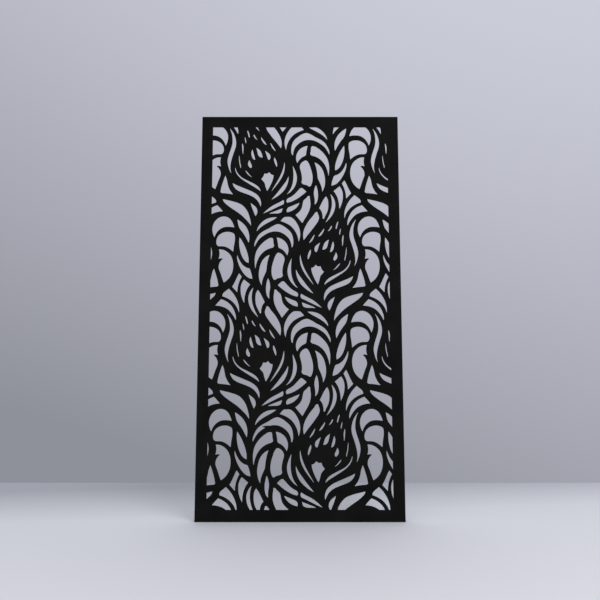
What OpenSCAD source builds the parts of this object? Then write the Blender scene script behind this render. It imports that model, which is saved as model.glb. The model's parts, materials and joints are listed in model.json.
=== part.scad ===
/* [Screen] */
// Overall width of the screen, mm
screen_w = 900; // [600:10:1000]
// Overall height of the screen, mm
screen_h = 1800; // [1200:10:2000]
// Thickness of the laser-cut sheet, mm
sheet_t = 3; // [2:0.5:5]
// Plain margin left round the cut pattern, mm
border_w = 50; // [40:1:90]

/* [Pattern] */
// Sideways repeat of the feather pattern, mm
repeat_w = 656; // [600:2:820]
// Metal left along the openings beyond their drawn outlines, mm
web_add = 1.0; // [0:0.1:1.5]
// Inside radius of the cut corners, mm
cut_corner_r = 0.8; // [0.4:0.1:2]
// Narrowest sliver of an opening kept where the margin crops the pattern, mm
crop_min = 5; // [4:0.5:8]

/* [Rear frame] */
// Outer size of the square tube, mm
tube_a = 25; // [20:1:40]
// Wall thickness of the tube, mm
tube_t = 2; // [1.5:0.1:3]
// Outer corner radius of the tube, mm
tube_r = 1; // [0.6:0.1:3]
// Leg of the weld beads, mm
weld_a = 4; // [3:0.5:5]
// Length of one stitch weld, mm
stitch_l = 25; // [15:1:40]
// Stitch welds along each stile
stitch_n_h = 7; // [4:1:10]
// Stitch welds along each rail
stitch_n_w = 4; // [2:1:6]

/* [Wall fixing] */
// Distance of the threaded inserts from the screen's top and foot, mm
insert_inset = 150; // [50:5:400]
// Thread size of the inserts, mm
insert_thread = 8; // [6:1:8]
// Diameter of the two drain holes under the bottom rail, mm
drain_d = 6; // [4:1:10]
// Distance of the drain holes from the screen's sides, mm
drain_inset = 75; // [40:5:250]

/* [Hidden] */

// The frame of reference: X across the screen, +Y to its back, Z up; origin under its middle
depth = sheet_t + tube_a;
face_y = -depth / 2;
joint_y = face_y + sheet_t;
back_y = depth / 2;

// The pattern is a peacock feather that comes back every drawn_w sideways, and glide_h further up
// turned over left for right about mirror_x. Its outlines are drawn in millimetres at a repeat of
// drawn_w, with [drawn_middle, drawn_foot] on the middle of the screen's foot.
drawn_w = 656;
drawn_middle = 450;
drawn_foot = -1.3;
glide_h = 428.3;
mirror_x = 415;
chord_error = 0.2;

// In an outline, [x, z] lies on a smooth run and [x, z, 1] is a corner.
// The eye: the notched drop, and the five drops that ring it
EYE = [
    [[499, 238, 1], [506, 239.5], [512, 243], [517, 248.5], [521, 253.5, 1], [526, 247.5], [534, 245],
     [543, 246.5, 1], [545.5, 238], [550, 229], [558.5, 219.5, 1], [551, 210.5], [543, 201],
     [537, 180], [530, 160.5, 1], [519, 178], [510, 197], [502.5, 217]],
    [[497, 323, 1], [500, 313], [497, 296], [491, 282], [486, 275.5], [483.5, 284], [486.5, 302],
     [491.5, 314]],
    [[541.5, 354.5, 1], [529, 346], [517, 334.5], [514, 322], [516.5, 312], [522.5, 307.5], [529, 317],
     [534, 332]],
    [[581, 368, 1], [570, 361.5], [560, 351.5], [554, 336], [549, 319.5, 1], [560.5, 320],
     [570.5, 328], [576.5, 347]],
    [[598, 361, 1], [592.5, 343], [588, 328], [583.5, 308.5, 1], [590, 309], [597, 315], [602, 327],
     [604, 341], [602, 352]],
    [[611.5, 310.5, 1], [605.5, 296], [599, 280], [600.5, 272], [605, 269], [611.5, 273.5],
     [617.5, 282.5], [618.5, 293], [616, 302]],
];
// The halo: the narrow slits that fan out over the eye
HALO = [
    [[489, 347.5, 1], [499.5, 354.5], [509.5, 367.5], [514.5, 379.5], [517, 392, 1], [511.5, 387],
     [504.5, 376], [495.5, 362]],
    [[530.5, 379, 1], [537.5, 380], [546.5, 386.5], [553.5, 397], [559.5, 411], [558.5, 419.5, 1],
     [550.5, 408], [540.5, 395]],
    [[572.5, 402.5, 1], [584, 407.5], [591, 416], [595, 432, 1], [589, 428], [582.5, 416]],
    [[610, 417], [613, 413], [616, 416.5], [619.5, 430], [623.5, 446], [622, 452, 1], [615.5, 442],
     [611.5, 428]],
    [[629, 384, 1], [632, 395], [634.5, 408], [634, 421, 1], [629, 410], [626.5, 401], [626, 393]],
    [[642, 336.5], [644, 343], [646, 365], [647, 382], [645, 390.5, 1], [640.5, 380], [638, 366],
     [639, 348]],
    [[649.5, 269.5], [654.5, 279], [659, 299], [660.5, 320], [659, 336, 1], [655, 316], [652.5, 295],
     [648.5, 275]],
];
// The long blades that sweep round the eye from the quill
VANES = [
    [[630, 261, 1], [619, 251], [608, 238], [595, 224.5, 1], [609, 231.5], [620.5, 242], [628, 252]],
    [[675, 277, 1], [669, 257], [657.5, 239], [642, 225], [619, 213], [597, 202], [575, 188.5],
     [562, 173], [557.5, 159, 1], [575, 172], [600, 187.5], [625, 203], [650, 220.5], [666, 237.5],
     [674, 253], [677, 265]],
    [[688.5, 201.5, 1], [672, 193], [645, 181.5], [615, 169], [587, 155.5], [567, 138], [557.5, 118],
     [555.5, 104], [558, 87, 1], [563, 99], [572, 115], [589, 131.5], [620, 146.5], [650, 157.5],
     [670, 168.5], [682, 183]],
    [[605.5, 109, 1], [592, 99.5], [579, 88], [573, 75], [572, 63], [576, 52], [580.5, 43.5, 1],
     [587, 56], [593, 71], [599.5, 88]],
    [[600.5, -1, 1], [611, 14], [629, 33.5], [650, 53], [675, 71], [700, 88], [718, 103],
     [728, 114.5], [732, 126.5, 1], [710, 121.5], [670, 111], [646, 101], [627, 83], [613, 59.5],
     [606, 37], [601.5, 18]],
    [[706, 464, 1], [694, 450], [684, 434.5], [676, 413.5], [672, 390], [674.5, 367], [682, 344.5],
     [690, 318], [695.5, 293], [697, 268], [692, 241, 1], [702, 258], [709.5, 281], [712.5, 302],
     [708, 330], [698.5, 359], [691.5, 385], [691, 411], [696, 438]],
    [[414, 285, 1], [405, 268], [397, 247.5], [393, 222], [396, 201], [404, 180.5], [418, 162],
     [444, 143.5, 1], [428, 165], [417, 189], [411.5, 217], [411, 250]],
    [[451, 302, 1], [448.5, 276], [452, 251], [463, 224], [478, 200], [495, 177.5], [514, 155.5, 1],
     [500.5, 181], [486, 205.5], [472, 231.5], [460, 262]],
    [[431.5, 234, 1], [431.5, 216], [436, 195], [450, 167], [472, 144.5], [512, 120, 1], [497, 139.5],
     [480, 160], [460, 187], [443, 211]],
    [[454.5, 122.5, 1], [474, 111], [500, 98], [520, 84.5], [537, 69.5], [549.5, 56, 1], [528, 64.5],
     [500, 78], [472, 92], [452.5, 104], [451.5, 113]],
    [[457, 84, 1], [478, 76], [500, 67.5], [513, 62.5], [521.5, 56, 1], [500, 57], [474, 58.5], [463, 64.5],
     [459.5, 74]],
    [[481, 41.5, 1], [500, 41.5], [520, 38], [540, 29], [558, 13], [571, -6], [576.5, -27, 1],
     [555, -5], [528, 12.5], [500, 27.5]],
];
// The barbs that arch over the next eye, left of the quill
ARCHES = [
    [[245, 330.5, 1], [244, 346], [252, 369], [264, 389], [284, 405.5], [310, 419], [334, 433.5],
     [350, 438.5], [368, 433.5], [390, 419], [408, 402], [418, 380.5], [421, 358], [419, 337.5],
     [415, 330], [410, 345], [400, 369], [380, 389], [358, 400], [335, 402.5], [310, 397],
     [290, 386], [270, 370.5], [253, 346]],
    [[250, 229, 1], [246.5, 252], [247, 288], [255, 317], [275, 345.5], [298, 365.5], [317, 375],
     [327, 374], [330.5, 365], [331.5, 350], [334, 336], [329, 329.5], [315, 325], [294, 314.5],
     [273, 294], [261, 272]],
    [[315.5, 299, 1], [298, 290], [280, 270.5], [268, 238], [264.5, 210], [268.5, 180],
     [279.5, 156, 1], [282.5, 179], [292, 204], [299.5, 221], [302, 243], [308, 276]],
    [[307, 192.5, 1], [301, 175.5], [297.5, 153], [298, 129.5], [304, 108], [314.5, 96.5, 1],
     [314, 121], [318, 151], [315, 174]],
    [[350, 307], [341, 297], [331, 272], [323.5, 245], [321.5, 221], [327, 193], [334, 182.5],
     [350, 189], [369, 195], [373.5, 201], [372, 215], [373, 236], [378.5, 260], [382, 276],
     [378, 290], [367, 302]],
    [[344, 377.5, 1], [361, 373], [382, 359.5], [394, 341.5], [399, 317], [392.5, 291.5, 1],
     [382, 308.5], [369, 320.5], [353, 330], [350, 348]],
    [[349.5, 159.5, 1], [361, 170.5], [374.5, 178.5], [387, 168.5], [405, 149], [424, 135],
     [438, 127], [442.5, 119], [438.5, 106.5, 1], [415, 113.5], [390, 127], [369, 142.5]],
    [[303, 66.5], [298, 56.5], [293, 42], [297, 23], [308, 6], [326, -18.5], [345, -42], [363.5, -67, 1],
     [367, -46], [363.5, -19], [353, 5], [338, 28.5], [321, 48.5], [307.5, 65.5]],
    [[337.5, 141], [334.5, 129], [331.5, 103], [336, 75], [347, 50], [359, 30], [369.5, 12, 1],
     [383, 28.5], [402, 51.5, 1], [386, 65], [374, 81], [369, 102], [364.5, 119.5], [352, 131], [341.5, 141]],
    [[380.5, 109, 1], [400, 101.5], [420, 93], [433.5, 87], [441, 75], [439.5, 62, 1], [418, 68.5],
     [401, 79], [388, 93.5]],
    [[423, 43], [409, 34], [392.5, 12.5], [381.5, -13], [378, -41], [382, -64], [386.5, -75.5, 1],
     [392.5, -46], [405.5, -19.5], [425, 1.5], [447, 14], [470, 22.5, 1], [462, 32], [452, 42],
     [437, 43.5]],
];
// The scrolls and leaves that fill the ground right of the quill
SCROLLS = [
    [[19, -8, 1], [27, 14.5], [37, 31], [52, 42], [70, 45.5], [90, 40], [107, 25.5], [118, 4.5],
     [120.5, -18], [116.5, -38], [109, -54, 1], [103, -38.5], [89, -19.5], [70, -7.5], [44, -4.5]],
    [[99, 98, 1], [120, 89], [143, 71], [159.5, 44], [167, 17], [165.5, 0, 1], [150, 27], [128, 51],
     [105, 62], [71.5, 67, 1], [82, 80]],
    [[132.5, 145, 1], [155, 120.5], [172, 90], [180, 60], [179.5, 32, 1], [165, 66], [145, 88],
     [124, 101], [104, 108.5, 1], [103.5, 116], [109, 126], [121, 136]],
    [[178, 215, 1], [190.5, 197, 1], [179, 172], [174, 153], [171.5, 125, 1], [160, 137],
     [146, 152, 1], [159, 176], [171, 203]],
    [[199.5, 186.5, 1], [212, 176.5], [229, 162, 1], [215.5, 142.5], [207.5, 120], [203, 77, 1],
     [192, 98], [184.5, 130], [187, 163]],
    [[262, 140.5, 1], [253.5, 125], [250.5, 100], [255, 67], [265.5, 46], [275.5, 32], [278.5, 47],
     [283, 66], [294.5, 82.5, 1], [287, 98], [276, 120]],
    [[244, 151.5, 1], [226.5, 130], [219, 103], [221.5, 78], [234.5, 48.5], [252.5, 26],
     [267, 13.5, 1], [251.5, 44], [239.5, 77], [236, 108], [239.5, 135]],
    [[64.5, 237, 1], [56, 215], [50.5, 187.5], [41, 166], [25.5, 145.5, 1], [48, 149],
     [80, 152, 1], [87, 157, 1], [83.5, 178], [75, 208]],
    [[82, 335.5], [91, 334.5], [107, 334], [124, 328.5], [139, 318.5], [151, 308.5, 1], [153.5, 334],
     [158, 377], [154.5, 392], [143, 399.5], [123, 403], [101, 398.5], [82, 385], [72.5, 361.5],
     [74.5, 343.5]],
    [[84.5, 322.5, 1], [103, 321], [121, 312.5], [139, 295], [149.5, 270], [152, 243],
     [146.5, 213], [132, 188], [109, 169.5, 1], [102.5, 187], [94, 212], [84.5, 240], [87.5, 258],
     [103, 278, 1], [95, 279.5], [83, 276, 1], [87.5, 297]],
    [[177, 379, 1], [193, 355.5], [206, 329], [216, 300], [221, 272], [220, 257, 1], [205.5, 265.5],
     [190, 287], [179, 320], [175, 356]],
    [[168, 299, 1], [180, 271.5], [195, 250.5], [211, 239.5], [224, 235], [230.5, 221],
     [238.5, 186, 1], [220, 191.5], [200, 208.5], [184, 232.5], [171, 262], [166.5, 284]],
    [[166, 460.5, 1], [186, 447.5], [205, 428.5], [218, 404], [223, 376], [219.5, 349, 1],
     [206, 374.5], [191, 398.5], [176, 418.5], [168.5, 443]],
];

// The lowest arch alone has one barb more, which stands on its inner edge
BARB = [[326, 400, 1], [312, 401.5], [299, 400.5], [285, 398, 1], [296, 393.5], [306, 391, 1]];

// The pattern is scaled from the drawn repeat about the middle of the screen's foot
pattern_k = repeat_w / drawn_w;
pattern_at = [-drawn_middle, -drawn_foot] * pattern_k;
window_lo = [-screen_w / 2 + border_w, border_w];
window_hi = [screen_w / 2 - border_w, screen_h - border_w];
span_m = [floor((window_lo[0] - pattern_at[0]) / repeat_w) - 1,
          ceil((window_hi[0] - pattern_at[0]) / repeat_w)];
span_k = [-1, ceil(screen_h / (glide_h * pattern_k))];

tube_inner_r = max(tube_r - tube_t, 0.3);
// What a cutter runs past the wall that it goes through
overrun = 1;
drain_x = screen_w / 2 - drain_inset;

// The inserts: bore at the thread's minor diameter, sleeve, flush head and the ring that crimping
// raises behind the tube's wall
minor_share = 0.83;
insert_bore_d = minor_share * insert_thread;
insert_wall = 1.5;
insert_sleeve_d = insert_thread + 2 * insert_wall;
insert_head_t = 1;
insert_head_d = insert_sleeve_d + 2 * insert_head_t;
insert_ring_t = 3;
insert_ring_out = 1.75;
insert_ring_d = insert_sleeve_d + 2 * insert_ring_out;
insert_ring_edge = 0.6;
insert_l_per_thread = 2.2;
insert_l = insert_l_per_thread * insert_thread;
insert_x = screen_w / 2 - tube_a / 2;
insert_z = screen_h / 2 - insert_inset;

black_coat = [0.075, 0.075, 0.07];
zinc_plate = [0.72, 0.71, 0.66];

// Smooth outlines: between two points the curve is a cubic that leaves and arrives along their
// headings, with the chord as its speed
function xz(p) = [p[0], p[1]];
function sharp(p) = len(p) > 2;
function unit(v) = v / max(norm(v), 0.000001);
function turn(a, b) = acos(min(1, max(-1, unit(a) * unit(b))));
function reflected(v, axis) = 2 * (v * axis) * axis - v;
function left(v) = [-v[1], v[0]];

function heading(o, i) =
    let (n = len(o), here = xz(o[i]), back = here - xz(o[(i + n - 1) % n]),
         ahead = xz(o[(i + 1) % n]) - here)
    unit(back * norm(ahead) / norm(back) + ahead * norm(back) / norm(ahead));

// An outline drawn in by web_add: a smooth point moves square to the curve, and a corner along its
// bisector, at most miter times as far
miter = 2;
function winding(o) = let (n = len(o))
    sign([for (i = [0 : n - 1]) cross(xz(o[i]), xz(o[(i + 1) % n]))] * [for (p = o) 1]);
function drawn_in(o) =
    let (n = len(o), inward = winding(o) * web_add / pattern_k)
    [for (i = [0 : n - 1])
        let (here = xz(o[i]), back = left(unit(here - xz(o[(i + n - 1) % n]))),
             ahead = left(unit(xz(o[(i + 1) % n]) - here)), between = unit(back + ahead),
             move = sharp(o[i]) ? between / max(between * back, 1 / miter) : left(heading(o, i)))
        concat(here + inward * move, sharp(o[i]) ? [1] : [])];

// One piece of an outline: start, heading there, end, heading there, chord.
// A piece that starts or ends at a corner is bent like an arc.
function piece(o, i) =
    let (j = (i + 1) % len(o), p = xz(o[i]), q = xz(o[j]), chord = unit(q - p),
         leave = heading(o, i), arrive = heading(o, j), both = sharp(o[i]) && sharp(o[j]))
    [p, both ? chord : sharp(o[i]) ? reflected(arrive, chord) : leave,
     q, both ? chord : sharp(o[j]) ? reflected(leave, chord) : arrive, norm(q - p)];

function along(s, t) =
    (2 * t * t * t - 3 * t * t + 1) * s[0] + (t * t * t - 2 * t * t + t) * s[4] * s[1]
    + (3 * t * t - 2 * t * t * t) * s[2] + (t * t * t - t * t) * s[4] * s[3];

// Steps that keep the flats of a piece within chord_error of its curve
function steps(s) =
    let (bend = (turn(s[1], s[2] - s[0]) + turn(s[2] - s[0], s[3])) * PI / 180)
    max(1, ceil(sqrt(s[4] * bend * pattern_k / (8 * chord_error))));

// How much of each side a corner's rounding takes, at most trim_share of the shorter one
trim_share = 0.35;
sharpest_turn = 172;
function trim(before, after) =
    min(cut_corner_r / pattern_k * tan(min(turn(before[3], after[1]), sharpest_turn) / 2),
        trim_share * min(before[4], after[4]));

function rounded(a, corner, b) =
    [for (u = [0, 0.5]) (1 - u) * (1 - u) * a + 2 * u * (1 - u) * corner + u * u * b];

function smooth(o) =
    let (n = len(o), s = [for (i = [0 : n - 1]) piece(o, i)],
         cut = [for (i = [0 : n - 1]) sharp(o[i]) ? trim(s[(i + n - 1) % n], s[i]) : 0])
    [for (i = [0 : n - 1])
        let (last = s[(i + n - 1) % n], from = cut[i] / s[i][4], to = 1 - cut[(i + 1) % n] / s[i][4],
             count = steps(s[i]))
        each concat(
            cut[i] > 0 ? rounded(along(last, 1 - cut[i] / last[4]), s[i][0], along(s[i], from)) : [],
            [for (j = [0 : count - 1]) along(s[i], from + (to - from) * j / count)])];

// The pattern's copy m repeats across and k half repeats up, turned over where k is odd
function placed(o, m, k) =
    [for (p = o) pattern_k * [(k % 2 == 0 ? p[0] : 2 * mirror_x - p[0]) + m * drawn_w, p[1] + k * glide_h]
        + pattern_at];
function low(o) = [min([for (p = o) p[0]]), min([for (p = o) p[1]])];
function high(o) = [max([for (p = o) p[0]]), max([for (p = o) p[1]])];
function whole(o) =
    let (a = low(o), b = high(o))
    a[0] >= window_lo[0] && a[1] >= window_lo[1] && b[0] <= window_hi[0] && b[1] <= window_hi[1];
// A sliver that the window shows of an opening is also at least sliver_shape times as long as wide
sliver_shape = 3;
function shown(o) =
    let (a = low(o), b = high(o),
         size = [for (i = [0, 1]) min(b[i], window_hi[i]) - max(a[i], window_lo[i])])
    min(size) >= crop_min && max(size) >= sliver_shape * crop_min;

cuts = [for (o = concat(EYE, HALO, VANES, ARCHES, SCROLLS)) let (curve = smooth(drawn_in(o)))
    for (m = [span_m[0] : span_m[1]]) for (k = [span_k[0] : span_k[1]])
        let (copy = placed(curve, m, k)) if (whole(copy) || shown(copy)) copy];

module screen_panel() {
    color(black_coat) translate([0, joint_y, 0]) rotate([90, 0, 0]) linear_extrude(sheet_t) {
        difference() {
            translate([-screen_w / 2, 0]) square([screen_w, screen_h]);
            for (o = cuts) if (whole(o)) polygon(o);
            intersection() {
                translate(window_lo) square(window_hi - window_lo);
                union() for (o = cuts) if (!whole(o)) polygon(o);
            }
        }
        polygon(placed(smooth(BARB), 0, 0));
    }
}

// Places what is drawn for the bottom side, which runs along X, on each side of the frame
module on_top() translate([0, 0, screen_h]) mirror([0, 0, 1]) children();
module on_left() translate([-screen_w / 2, 0, screen_h / 2]) rotate([0, 90, 0]) children();
module on_right() mirror([1, 0, 0]) on_left() children();

module rounded_square(size, r) {
    translate([r, 0]) square([size - 2 * r, size]);
    translate([0, r]) square([size, size - 2 * r]);
    for (x = [r, size - r], y = [r, size - r]) translate([x, y]) circle(r, $fn = 32);
}

module tube_section() {
    difference() {
        rounded_square(tube_a, tube_r);
        translate([tube_t, tube_t]) rounded_square(tube_a - 2 * tube_t, tube_inner_r);
    }
}

// A square tube along X, mitred at 45 degrees at both ends, its outer face on Z = 0
module side(length) {
    intersection() {
        translate([-length / 2, joint_y, 0]) rotate([90, 0, 90]) linear_extrude(length) tube_section();
        translate([0, back_y, 0]) rotate([90, 0, 0]) linear_extrude(tube_a)
            polygon([[-length / 2, 0], [length / 2, 0], [length / 2 - tube_a, tube_a],
                     [-length / 2 + tube_a, tube_a]]);
    }
}

// The holes in a stile's back wall that the inserts are set in, countersunk for their heads
module insert_holes() {
    for (x = [-1, 1] * insert_z) translate([x, back_y, tube_a / 2]) rotate([90, 0, 0]) {
        translate([0, 0, -overrun]) cylinder(d = insert_sleeve_d, h = tube_t + 2 * overrun, $fn = 48);
        cylinder(d1 = insert_head_d, d2 = insert_sleeve_d, h = insert_head_t, $fn = 48);
    }
}

module stile() color(black_coat) difference() {
    side(screen_h);
    insert_holes();
}

module left_stile() on_left() stile();

module right_stile() on_right() stile();

module top_rail() color(black_coat) on_top() side(screen_w);

module bottom_rail() color(black_coat) difference() {
    side(screen_w);
    for (x = [-1, 1] * drain_x) translate([x, joint_y + tube_a / 2, -overrun])
        cylinder(d = drain_d, h = tube_t + 2 * overrun, $fn = 32);
}

// A bead of weld along X with one leg up +Y and one up +Z
module bead(length) {
    run = length - 2 * weld_a;
    intersection() {
        union() {
            translate([-run / 2, 0, 0]) rotate([0, 90, 0]) cylinder(r = weld_a, h = run, $fn = 32);
            for (x = [-1, 1] * run / 2) translate([x, 0, 0]) sphere(r = weld_a, $fn = 32);
        }
        translate([-length / 2, 0, 0]) cube([length, weld_a, weld_a]);
    }
}

module corner_welds() {
    color(black_coat) for (right = [0, 1], top = [0, 1])
        translate([0, 0, top * screen_h]) mirror([0, 0, top]) mirror([1 - right, 0, 0])
            translate([screen_w / 2 - tube_a, joint_y + tube_a / 2, tube_a]) rotate([0, 0, 90])
                bead(tube_a - 2 * tube_r);
}

module stitches(length, count) {
    pitch = (length - 2 * tube_a) / count;
    for (i = [0 : count - 1]) translate([pitch * (i + 0.5 - count / 2), joint_y, tube_a]) bead(stitch_l);
}

module stitch_welds() {
    color(black_coat) {
        stitches(screen_w, stitch_n_w);
        on_top() stitches(screen_w, stitch_n_w);
        on_left() stitches(screen_h, stitch_n_h);
        on_right() stitches(screen_h, stitch_n_h);
    }
}

// A rivet nut: a threaded sleeve with a flush head, crimped to a ring behind the tube's wall
module insert() {
    bore_r = insert_bore_d / 2;
    sleeve_r = insert_sleeve_d / 2;
    ring_r = insert_ring_d / 2;
    ring_end = tube_t + insert_ring_t;
    rotate([90, 0, 0]) rotate_extrude($fn = 48)
        polygon([[bore_r, 0], [insert_head_d / 2, 0], [sleeve_r, insert_head_t], [sleeve_r, tube_t],
                 [ring_r - insert_ring_edge, tube_t], [ring_r, tube_t + insert_ring_edge],
                 [ring_r, ring_end - insert_ring_edge], [ring_r - insert_ring_edge, ring_end],
                 [sleeve_r, ring_end], [sleeve_r, insert_l], [bore_r, insert_l]]);
}

module threaded_inserts() {
    color(zinc_plate) for (x = [-1, 1] * insert_x, z = [-1, 1] * insert_z)
        translate([x, back_y, screen_h / 2 + z]) insert();
}

screen_panel();
left_stile();
right_stile();
top_rail();
bottom_rail();
corner_welds();
stitch_welds();
threaded_inserts();
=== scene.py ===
import json
import math

import bmesh
import bpy
import numpy as np
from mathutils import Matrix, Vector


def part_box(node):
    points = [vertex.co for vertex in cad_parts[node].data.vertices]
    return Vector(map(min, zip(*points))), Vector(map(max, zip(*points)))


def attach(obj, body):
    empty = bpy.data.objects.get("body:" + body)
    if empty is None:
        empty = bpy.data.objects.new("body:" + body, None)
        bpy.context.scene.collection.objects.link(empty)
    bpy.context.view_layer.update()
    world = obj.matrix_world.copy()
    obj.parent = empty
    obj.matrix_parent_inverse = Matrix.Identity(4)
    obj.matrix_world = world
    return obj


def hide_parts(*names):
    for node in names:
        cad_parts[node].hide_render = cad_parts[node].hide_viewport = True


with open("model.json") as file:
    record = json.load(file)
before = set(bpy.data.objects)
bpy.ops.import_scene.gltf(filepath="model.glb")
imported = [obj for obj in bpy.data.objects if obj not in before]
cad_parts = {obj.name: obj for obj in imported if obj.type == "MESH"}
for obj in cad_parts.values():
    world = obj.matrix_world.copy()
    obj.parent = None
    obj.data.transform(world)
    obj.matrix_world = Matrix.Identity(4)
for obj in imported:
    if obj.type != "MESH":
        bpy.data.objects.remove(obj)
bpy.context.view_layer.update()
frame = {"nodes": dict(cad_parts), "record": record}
nodes = frame["nodes"]

# ---------------------------------------------------------------------------------------------
# The sheet: 3 mm aluminium, laser-cut through with the feather pattern, deburred and powder
# coated matt black. The coat draws every cut edge round, and hides all but a trace of the ribs
# that the beam leaves across the cut walls.
# ---------------------------------------------------------------------------------------------
MM = 0.001
low, high = (np.round(corner, 6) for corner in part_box("screen_panel"))
SCREEN_W = high[0] - low[0]
SCREEN_H = high[2] - low[2]
MID_Z = SCREEN_H / 2
FRONT_Y = low[1]
JOINT_Y = high[1]
# The coat's two blacks, its roughness and its shine
COAT_DARK = "0B0B0A"
COAT_LIGHT = "161615"
COAT_ROUGHNESS = (0.55, 0.8)
COAT_SPECULAR = 0.05
# Distances from bump to bump, mm. The grain of a real coat is about 0.15 and is drawn at 0.7,
# because anything finer is lost in a picture of the whole screen.
GRAIN = 0.7
ORANGE_PEEL = 3.5
CUT_RIBS = 0.6
FILM_CLOUDS = 110
# The span of clouds + grain over which the film goes from dark to light
FILM_SPAN = (0.7, 1.3)
# Heights of the bumps
GRAIN_H = 0.05 * MM
PEEL_H = 0.1 * MM
RIB_H = 0.05 * MM
# The coated edge: its radius, the least angle of an edge that it rounds, in degrees, and how near
# the corners of two faces lie where they are one corner
COAT_EDGE_R = 0.25 * MM
EDGE_ANGLE = 40
SAME_POINT = 0.001 * MM


def linear(code):
    """sRGB hex to linear: c / 12.92 up to 0.04045, and ((c + 0.055) / 1.055) ^ 2.4 above it."""
    c = np.array([int(code[i : i + 2], 16) for i in (0, 2, 4)]) / 255
    c = np.where(c <= 0.04045, c / 12.92, ((c + 0.055) / 1.055) ** 2.4)
    return (*c.tolist(), 1.0)


def per_mm(distance):
    """The scale at which a texture comes back every so many millimetres."""
    return 1 / (distance * MM)


def new_material(name):
    """Makes a material and returns it with its node tree, emptied."""
    material = bpy.data.materials.new(name)
    material.use_nodes = True
    material.node_tree.nodes.clear()
    return material, material.node_tree


def add(tree, kind, inputs=None, **settings):
    """Adds a shader node, sets its properties, then fills its inputs with values or linked sockets."""
    node = tree.nodes.new("ShaderNode" + kind)
    for name, value in settings.items():
        setattr(node, name, value)
    for name, value in (inputs or {}).items():
        if isinstance(value, bpy.types.NodeSocket):
            tree.links.new(value, node.inputs[name])
        else:
            node.inputs[name].default_value = value
    return node


def powder_coat(name, form=None):
    """To the eye, an even deep black with next to no shine and a fine tooth. Height = orange peel +
    grain. The film is lighter where slow clouds and the grain add up. A form that shows through the
    coat is a function that changes the film's value and the normal."""
    material, tree = new_material(name)
    here = add(tree, "TexCoord").outputs["Object"]
    clouds = {"Vector": here, "Scale": per_mm(FILM_CLOUDS), "Detail": 4}
    clouds = add(tree, "TexNoise", clouds).outputs["Fac"]
    grain = {"Vector": here, "Scale": per_mm(GRAIN), "Detail": 2}
    grain = add(tree, "TexNoise", grain).outputs["Fac"]
    peel = {"Vector": here, "Scale": per_mm(ORANGE_PEEL), "Detail": 1}
    peel = add(tree, "TexNoise", peel).outputs["Fac"]
    film = add(tree, "Math", {0: clouds, 1: grain}, operation="ADD").outputs["Value"]
    normal = add(tree, "Bump", {"Height": peel, "Distance": PEEL_H}).outputs["Normal"]
    normal = {"Height": grain, "Distance": GRAIN_H, "Normal": normal}
    normal = add(tree, "Bump", normal).outputs["Normal"]
    if form:
        film, normal = form(tree, film, normal)
    shade = {"Value": film, "From Min": FILM_SPAN[0], "From Max": FILM_SPAN[1]}
    colour = add(tree, "ValToRGB", {"Fac": add(tree, "MapRange", shade).outputs["Result"]})
    colour.color_ramp.elements[0].color = linear(COAT_DARK)
    colour.color_ramp.elements[1].color = linear(COAT_LIGHT)
    dull = {"Value": grain, "To Min": COAT_ROUGHNESS[0], "To Max": COAT_ROUGHNESS[1]}
    coat = {
        "Base Color": colour.outputs["Color"],
        "Roughness": add(tree, "MapRange", dull).outputs["Result"],
        "Specular IOR Level": COAT_SPECULAR,
        "Normal": normal,
    }
    coat = add(tree, "BsdfPrincipled", coat)
    add(tree, "OutputMaterial", {"Surface": coat.outputs["BSDF"]})
    return material


def cut_ribs(tree, film, normal):
    """The ribs on the cut walls. Height = ribs that run straight through the sheet x (1 - |how far
    the face looks to the front|)."""
    place = add(tree, "TexCoord").outputs
    through = {0: place["Object"], 1: (1, 0, 1)}
    through = add(tree, "VectorMath", through, operation="MULTIPLY").outputs["Vector"]
    ribs = add(tree, "TexNoise", {"Vector": through, "Scale": per_mm(CUT_RIBS), "Detail": 1})
    facing = add(tree, "SeparateXYZ", {"Vector": place["Normal"]})
    front = add(tree, "Math", {0: facing.outputs["Y"]}, operation="ABSOLUTE")
    wall = add(tree, "Math", {0: 1.0, 1: front.outputs["Value"]}, operation="SUBTRACT")
    height = {0: wall.outputs["Value"], 1: ribs.outputs["Fac"]}
    height = add(tree, "Math", height, operation="MULTIPLY").outputs["Value"]
    bump = add(tree, "Bump", {"Height": height, "Distance": RIB_H, "Normal": normal})
    return film, bump.outputs["Normal"]


def finish_node(name, material):
    """Gives a CAD node its finish and returns it."""
    node = nodes[name]
    node.data.materials.clear()
    node.data.materials.append(material)
    return node


sheet_coat = powder_coat("Matt black powder coat on laser-cut aluminium sheet", cut_ribs)
sheet = finish_node("screen_panel", sheet_coat)
joined = sheet.modifiers.new("Joined faces", "WELD")
joined.merge_threshold = SAME_POINT
edge = sheet.modifiers.new("Coated edge", "BEVEL")
edge.width = COAT_EDGE_R
edge.segments = 2
edge.limit_method = "ANGLE"
edge.angle_limit = math.radians(EDGE_ANGLE)
edge.use_clamp_overlap = False
edge.harden_normals = True

# ---------------------------------------------------------------------------------------------
# The rear frame: 25 x 25 x 2 mm extruded aluminium tube, sawn to mitres, welded at the corners
# with the outside ground flush, and coated with the sheet.
# ---------------------------------------------------------------------------------------------
low, high = (np.round(corner, 6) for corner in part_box("left_stile"))
TUBE_A = high[0] - low[0]
TUBE_T = 2 * MM
TUBE_R = 1 * MM
BACK_Y = high[1]
# The trace of a ground weld, measured along the tube from the mitre: a slightly raised coat with a
# painted sheen, whole up to the core and gone at the edge
SEAM_CORE = 1.5 * MM
SEAM_EDGE = 3.5 * MM
SEAM_H = 0.15 * MM
# How much lighter the coat is painted over the trace: a painted sheen
SEAM_PAINTED_SHEEN = 0.35


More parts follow.
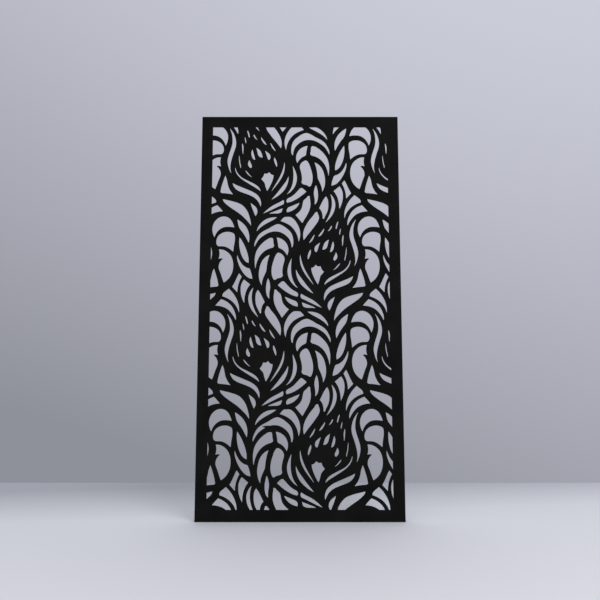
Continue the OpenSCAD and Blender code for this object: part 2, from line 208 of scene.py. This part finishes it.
def ground_welds_and_sheen(tree, film, normal):
    """Where the weld at a mitre was ground flush, the coat lies a little higher, and a painted sheen
    makes the film lighter there. Along the tube, a point is | (height off the middle - width off the
    middle) - half of (screen height - screen width) | from the mitre."""
    here = add(tree, "TexCoord").outputs["Object"]
    middle = {0: here, 1: (0, 0, MID_Z)}
    off = add(tree, "VectorMath", middle, operation="SUBTRACT").outputs["Vector"]
    off = add(tree, "VectorMath", {0: off}, operation="ABSOLUTE").outputs["Vector"]
    off = add(tree, "VectorMath", {0: off, 1: (-1, 0, 1)}, operation="DOT_PRODUCT").outputs["Value"]
    corner = {0: off, 1: (SCREEN_H - SCREEN_W) / 2}
    off = add(tree, "Math", corner, operation="SUBTRACT").outputs["Value"]
    off = add(tree, "Math", {0: off}, operation="ABSOLUTE").outputs["Value"]
    seam_and_sheen = {"Value": off, "From Min": SEAM_EDGE, "From Max": SEAM_CORE}
    seam_and_sheen = add(tree, "MapRange", seam_and_sheen).outputs["Result"]
    bump = add(tree, "Bump", {"Height": seam_and_sheen, "Distance": SEAM_H, "Normal": normal})
    # Painted sheen: the film is lightened over the weld trace
    film = {0: seam_and_sheen, 1: SEAM_PAINTED_SHEEN, 2: film}
    film = add(tree, "Math", film, operation="MULTIPLY_ADD")
    return film.outputs["Value"], bump.outputs["Normal"]


tube_coat = powder_coat("Matt black powder coat on extruded aluminium tube", ground_welds_and_sheen)
for tube in ("left_stile", "right_stile", "top_rail", "bottom_rail"):
    finish_node(tube, tube_coat)

# ---------------------------------------------------------------------------------------------
# The weld beads: 22 stitches hold the sheet to the tubes and 4 run up the inside corners. Each
# is laid by hand as a row of overlapping pools, left as welded and coated over.
# ---------------------------------------------------------------------------------------------
WELD_LEG = 4 * MM
STITCH_L = 25 * MM
STITCHES_UP = 7
STITCHES_ACROSS = 4
# The pools: their distance, how far they stand up, and how far each bows along the bead
POOL_PITCH = 1.6 * MM
POOL_H = 0.16 * MM
POOL_BOW = 1.1 * MM
# The hand's wander: its waves to a bead, and the share of the leg that each adds or takes
WANDER_WAVES = (1.3, 2.9, 5.1)
WANDER = 0.015
# How finely a bead is drawn: rows to a pool, and points from leg to leg
POOL_ROWS = 5
FACE_POINTS = 11


def grid_faces(rows, columns):
    """Quads of a tube of rows x columns points, closed round the columns and open at both ends."""
    start = np.arange(rows * columns).reshape(rows, columns)
    after = np.roll(start, -1, axis=1)
    return np.stack([start[:-1], after[:-1], after[1:], start[1:]], axis=-1).reshape(-1, 4)


def new_piece(name, points, faces, material, slot):
    """Makes a closed piece of the screen: equal points are merged, and faces point outwards."""
    mesh = bpy.data.meshes.new(name)
    mesh.from_pydata(points, [], faces)
    work = bmesh.new()
    work.from_mesh(mesh)
    bmesh.ops.remove_doubles(work, verts=work.verts, dist=SAME_POINT)
    bmesh.ops.recalc_face_normals(work, faces=work.faces)
    work.to_mesh(mesh)
    work.free()
    mesh.materials.append(material)
    mesh.shade_smooth()
    piece = bpy.data.objects.new(name, mesh)
    bpy.context.scene.collection.objects.link(piece)
    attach(piece, "root")
    return piece


def bead(length, seed):
    """A fillet bead along X. At station s and angle v up from the first leg, its face lies at
    cap(s) x (leg x (1 + wander(s)) + pool height x cos(2 pi (s + bow(v)) / pitch) x sin(2 v)),
    where cap rounds the ends and bow bends each ripple. Chance shifts the waves of the wander and
    the pools. The last column is the root of the corner."""
    chance = np.random.default_rng(seed)
    rows = 1 + round(length / POOL_PITCH * POOL_ROWS)
    s = np.linspace(-length / 2, length / 2, rows)[:, None]
    v = np.linspace(0, math.pi / 2, FACE_POINTS)
    past = np.maximum(0, np.abs(s) - (length / 2 - WELD_LEG)) / WELD_LEG
    cap = np.sqrt(1 - np.minimum(1, past) ** 2)
    waves = np.sin(2 * math.pi * (s / length * np.array(WANDER_WAVES) + chance.random(3)))
    wander = WANDER * waves.sum(axis=1, keepdims=True)
    bow = POOL_BOW * np.sin(2 * v)
    pools = np.cos(2 * math.pi * ((s + bow) / POOL_PITCH + chance.random())) * np.sin(2 * v)
    r = cap * (WELD_LEG * (1 + wander) + POOL_H * pools)
    face = np.stack([s + 0 * v, r * np.cos(v), r * np.sin(v)], axis=-1)
    root = np.stack([s, 0 * s, 0 * s], axis=-1)
    grid = np.concatenate([face, root], axis=1)
    return grid.reshape(-1, 3), grid_faces(*grid.shape[:2])


def laid(beads):
    """Places beads, each given as (length, corner point, direction, first leg, second leg), in one
    mesh. A bead's number in the list is its seed."""
    points, faces, count = [], [], 0
    for seed, (length, corner, *axes) in enumerate(beads):
        own, quads = bead(length, seed)
        points.append(own @ np.array(axes, float) + np.array(corner))
        faces.append(quads + count)
        count += len(own)
    return np.concatenate(points), np.concatenate(faces)


def stations(length, count):
    """The middles of count equal stretches of the length between the tubes of the other two sides."""
    return ((np.arange(count) + 0.5) / count - 0.5) * (length - 2 * TUBE_A)


X, Y, Z = np.eye(3)
INNER_X = SCREEN_W / 2 - TUBE_A
INNER_Z = MID_Z - TUBE_A
stitches = [
    (STITCH_L, (x, JOINT_Y, MID_Z - side * INNER_Z), X, Y, side * Z)
    for side in (1, -1)
    for x in stations(SCREEN_W, STITCHES_ACROSS)
] + [
    (STITCH_L, (-side * INNER_X, JOINT_Y, MID_Z + z), Z, Y, side * X)
    for side in (1, -1)
    for z in stations(SCREEN_H, STITCHES_UP)
]
corners = [
    (TUBE_A - 2 * TUBE_R, (-x * INNER_X, JOINT_Y + TUBE_A / 2, MID_Z - z * INNER_Z), Y, x * X, z * Z)
    for x in (1, -1)
    for z in (1, -1)
]
weld_coat = powder_coat("Matt black powder coat over aluminium weld beads")
for name, node, beads in (
    ("stitch_beads", "stitch_welds", stitches),
    ("corner_beads", "corner_welds", corners),
):
    piece = new_piece(name, *laid(beads), weld_coat, "weld")
    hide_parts(node)

# ---------------------------------------------------------------------------------------------
# The threaded inserts: 4 zinc-plated steel M8 rivet nuts with flush heads, crimped into the
# back walls of the stiles after coating. A wall bracket bolts to them.
# ---------------------------------------------------------------------------------------------
bolts = next(m["dims"] for m in frame["record"]["mounts"] if m["name"] == "rear_inserts")
INSERT_X = bolts["spacing_x_mm"] / 2 * MM
INSERT_Z = bolts["spacing_y_mm"] / 2 * MM
BORE_R = bolts["hole_r_mm"] * MM
INSERT_L = 17.6 * MM
SLEEVE_R = 5.5 * MM
HEAD_R = 6.5 * MM
HEAD_T = 1 * MM
HEAD_EDGE = 0.15 * MM
# The ring that the sleeve is crimped to behind the tube's wall
RING_R = 7.25 * MM
RING_T = 3 * MM
RING_EDGE = 0.6 * MM
# The thread. Its section is a triangle wave, made steeper and lowered, then cut off flat at the
# crest and at the root.
THREAD_PITCH = 1.25 * MM
THREAD_DEPTH = 0.66 * MM
THREAD_STEEPER = 1.25
THREAD_LOWER = 0.12
LEAD_IN = 0.6 * MM
# How finely a nut is drawn: points round it, and rings to a turn of its thread
ROUND = 48
TURN_RINGS = 8
# Edges of the nut sharper than this, in degrees, stay sharp
NUT_EDGE_ANGLE = 35
# Zinc under its yellowish film and bright zinc, and the span of the clouds from one to the other
ZINC_FILM = "B4AF9F"
ZINC_BRIGHT = "C6C7C4"
ZINC_SPAN = (0.3, 0.7)
ZINC_ROUGHNESS = (0.22, 0.42)
# Distances from mark to mark, mm
ZINC_CLOUDS = 4
SCRATCHES = 0.4
SCRATCH_H = 0.01 * MM


def rivet_nut():
    """Revolves (radius, depth) about Y, from the bore's mouth over the head and down the sleeve,
    then back up the bore. In the bore the radius grows by the thread's depth times a clipped
    triangle wave of depth / pitch - turn, which fades out over the first and last thread."""
    ring_end = TUBE_T + RING_T
    outside = [
        (BORE_R + LEAD_IN, 0),
        (HEAD_R - HEAD_EDGE, 0),
        (HEAD_R, HEAD_EDGE),
        (SLEEVE_R, HEAD_T),
        (SLEEVE_R, TUBE_T),
        (RING_R - RING_EDGE, TUBE_T),
        (RING_R, TUBE_T + RING_EDGE),
        (RING_R, ring_end - RING_EDGE),
        (RING_R - RING_EDGE, ring_end),
        (SLEEVE_R, ring_end),
        (SLEEVE_R, INSERT_L),
    ]
    down = np.linspace(INSERT_L, LEAD_IN, 1 + round(INSERT_L / THREAD_PITCH * TURN_RINGS))
    bore = np.stack([np.full_like(down, BORE_R), down], axis=1)
    radius, depth = np.concatenate([outside, bore]).T
    turn = np.arange(ROUND)[:, None] / ROUND
    wave = 1 - np.abs(2 * ((depth / THREAD_PITCH - turn) % 1) - 1)
    groove = np.clip(THREAD_STEEPER * wave - THREAD_LOWER, 0, 1)
    inside = np.arange(len(depth)) >= len(outside)
    fade = np.clip(np.minimum(depth - LEAD_IN, INSERT_L - depth) / THREAD_PITCH, 0, 1) * inside
    r = radius + THREAD_DEPTH * groove * fade
    angle = 2 * math.pi * turn
    grid = np.stack([r * np.cos(angle), -depth + 0 * r, r * np.sin(angle)], axis=-1)
    grid = np.concatenate([grid, grid[:1]])
    return grid.reshape(-1, 3), grid_faces(*grid.shape[:2])


def zinc_plate(name):
    """To the eye, bright metal a little clouded by its film, with fine scratches. The metal is
    rougher where the film is thinner."""
    material, tree = new_material(name)
    here = add(tree, "TexCoord").outputs["Object"]
    clouds = {"Vector": here, "Scale": per_mm(ZINC_CLOUDS), "Detail": 3}
    clouds = add(tree, "TexNoise", clouds).outputs["Fac"]
    colour = add(tree, "ValToRGB", {"Fac": clouds})
    colour.color_ramp.elements[0].position = ZINC_SPAN[0]
    colour.color_ramp.elements[0].color = linear(ZINC_FILM)
    colour.color_ramp.elements[1].position = ZINC_SPAN[1]
    colour.color_ramp.elements[1].color = linear(ZINC_BRIGHT)
    polish = {"Value": clouds, "To Min": ZINC_ROUGHNESS[0], "To Max": ZINC_ROUGHNESS[1]}
    marks = add(tree, "TexNoise", {"Vector": here, "Scale": per_mm(SCRATCHES), "Detail": 2})
    bump = add(tree, "Bump", {"Height": marks.outputs["Fac"], "Distance": SCRATCH_H})
    metal = {
        "Base Color": colour.outputs["Color"],
        "Metallic": 1.0,
        "Roughness": add(tree, "MapRange", polish).outputs["Result"],
        "Normal": bump.outputs["Normal"],
    }
    metal = add(tree, "BsdfPrincipled", metal)
    add(tree, "OutputMaterial", {"Surface": metal.outputs["BSDF"]})
    return material


nut_points, nut_faces = rivet_nut()
seats = [(x, BACK_Y, MID_Z + z) for x in (-INSERT_X, INSERT_X) for z in (-INSERT_Z, INSERT_Z)]
points = (np.array(seats)[:, None] + nut_points).reshape(-1, 3)
faces = (np.arange(len(seats))[:, None, None] * len(nut_points) + nut_faces).reshape(-1, 4)
inserts = new_piece("rivet_nuts", points, faces, zinc_plate("Zinc-plated steel"), "insert")
inserts.data.set_sharp_from_angle(angle=math.radians(NUT_EDGE_ANGLE))
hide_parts("threaded_inserts")

# ---------------------------------------------------------------------------------------------
# The floor: plain and pale, level with the screen's foot. It ends 636 mm behind the screen's face,
# where the wall colour begins. Its colour carries painted shade: darker towards that end and a little
# darker to the left.
# ---------------------------------------------------------------------------------------------
# Painted shade: the floor's tones, from darkest near the wall to its own pale colour in front
FLOOR_SHADED_NEAR_WALL = "9C9EA9"
FLOOR_HALF_SHADED = "C3C5CF"
FLOOR_FRONT = "D2D3DB"
FLOOR_END = 0.636
FLOOR_REACH = 9.0
# The painted shade runs along this direction, between these two distances from the screen, in metres,
# and the half-shaded tone lies at this share of the way
FLOOR_SHADE_RUN = (0.1, -1, 0)
FLOOR_SHADE_SPAN = (-0.6, 0.9)
FLOOR_HALF_SHADE_AT = 0.33


def matt_floor_with_painted_shade():
    """To the eye, pale matt paint. Tone = a ramp over how far forward a point lies, with painted
    shade: darker towards the back and the left.
    """
    material, tree = new_material("Pale matt floor paint")
    here = add(tree, "TexCoord").outputs["Object"]
    forward = add(tree, "VectorMath", {0: here, 1: FLOOR_SHADE_RUN}, operation="DOT_PRODUCT")
    span = {"Value": forward.outputs["Value"], "From Min": FLOOR_SHADE_SPAN[0], "From Max": FLOOR_SHADE_SPAN[1]}
    # Painted shade: the tone darkens towards the wall and the left
    painted_floor_shade = add(tree, "ValToRGB", {"Fac": add(tree, "MapRange", span).outputs["Result"]})
    painted_floor_shade.color_ramp.elements[0].color = linear(FLOOR_SHADED_NEAR_WALL)
    painted_floor_shade.color_ramp.elements[1].color = linear(FLOOR_FRONT)
    painted_floor_shade.color_ramp.elements.new(FLOOR_HALF_SHADE_AT).color = linear(FLOOR_HALF_SHADED)
    paint = {"Base Color": painted_floor_shade.outputs["Color"], "Roughness": 0.9, "Specular IOR Level": 0.1}
    paint = add(tree, "BsdfPrincipled", paint)
    add(tree, "OutputMaterial", {"Surface": paint.outputs["BSDF"]})
    return material


floor_mesh = bpy.data.meshes.new("floor")
floor_y = (-FLOOR_REACH, FRONT_Y + FLOOR_END)
floor_corners = [(side * FLOOR_REACH, y, 0) for y in floor_y for side in (-1, 1)]
floor_mesh.from_pydata(floor_corners, [], [(0, 1, 3, 2)])
floor_mesh.materials.append(matt_floor_with_painted_shade())
floor = bpy.data.objects.new("floor", floor_mesh)
bpy.context.scene.collection.objects.link(floor)

# ---------------------------------------------------------------------------------------------
# The light: one big soft lamp high in front on the right, and even light from all round. What is seen
# past the floor is a wall colour with painted shade: darker towards the bottom and the left, lighter
# towards the top and the right.
# ---------------------------------------------------------------------------------------------
# The lamp's width and place in metres, its power, and its tilt and turn in degrees
LAMP_SIZE = 5.6
LAMP_AT = (5.1, -5.8, 8.3)
LAMP_WATTS = 370
LAMP_TILT = 47.6
LAMP_TURN = 41.6
# The strength of the even light
ROOM_LIGHT = 0.9
# The wall's tones, from painted shade low down to lighter high up
WALL_SHADED_LOW = "8F919A"
WALL_HALF_SHADED = "AFB0BC"
WALL_LIT_HIGH = "CBCDD9"
# The wall's painted shade runs along this direction, between these two heights of a line of sight
WALL_SHADE_RUN = (0.4, 0, 1)
WALL_SHADE_SPAN = (-0.3, 0.7)

lamp_data = bpy.data.lights.new("softbox", "AREA")
lamp_data.shape = "DISK"
lamp_data.size = LAMP_SIZE
lamp_data.energy = LAMP_WATTS
lamp = bpy.data.objects.new("softbox", lamp_data)
lamp.location = LAMP_AT
lamp.rotation_euler = (math.radians(LAMP_TILT), 0, math.radians(LAMP_TURN))
bpy.context.scene.collection.objects.link(lamp)

world = bpy.data.worlds.new("Plain room")
bpy.context.scene.world = world
world.use_nodes = True
sky = world.node_tree
sky.nodes.clear()
toward = add(sky, "TexCoord").outputs["Generated"]
rise = add(sky, "VectorMath", {0: toward, 1: WALL_SHADE_RUN}, operation="DOT_PRODUCT").outputs["Value"]
rise = {"Value": rise, "From Min": WALL_SHADE_SPAN[0], "From Max": WALL_SHADE_SPAN[1]}
# Painted shade on the wall: lighter towards the top and the right
wall = add(sky, "ValToRGB", {"Fac": add(sky, "MapRange", rise).outputs["Result"]})
wall.color_ramp.elements[0].color = linear(WALL_SHADED_LOW)
wall.color_ramp.elements[1].color = linear(WALL_LIT_HIGH)
wall.color_ramp.elements.new(0.5).color = linear(WALL_HALF_SHADED)
seen = add(sky, "Background", {"Color": wall.outputs["Color"], "Strength": 1.0})
light = add(sky, "Background", {"Color": linear("FFFFFF"), "Strength": ROOM_LIGHT})
# What is seen straight, mirrored or through something is the wall colour with its painted shade, and
# the rest is light
ray = add(sky, "LightPath").outputs
straight = {0: ray["Is Camera Ray"], 1: ray["Is Glossy Ray"]}
straight = add(sky, "Math", straight, operation="MAXIMUM").outputs["Value"]
straight = {0: straight, 1: ray["Is Transmission Ray"]}
straight = add(sky, "Math", straight, operation="MAXIMUM").outputs["Value"]
room = {0: straight, 1: light.outputs["Background"], 2: seen.outputs["Background"]}
add(sky, "OutputWorld", {"Surface": add(sky, "MixShader", room).outputs["Shader"]})

# ---------------------------------------------------------------------------------------------
# The camera: 2.21 m in front of the screen's face and 0.73 m up, looking 5.7 degrees upwards.
# ---------------------------------------------------------------------------------------------
CAMERA_AWAY = 2.2116
CAMERA_UP = 0.729
CAMERA_PITCH = 5.72

camera_data = bpy.data.cameras.new("camera")
camera_data.sensor_width = 36
camera_data.lens = 30
camera = bpy.data.objects.new("camera", camera_data)
camera.location = (0, FRONT_Y - CAMERA_AWAY, CAMERA_UP)
camera.rotation_euler = (math.radians(90 + CAMERA_PITCH), 0, 0)
bpy.context.scene.collection.objects.link(camera)
bpy.context.scene.camera = camera
bpy.context.scene.view_settings.view_transform = "Standard"
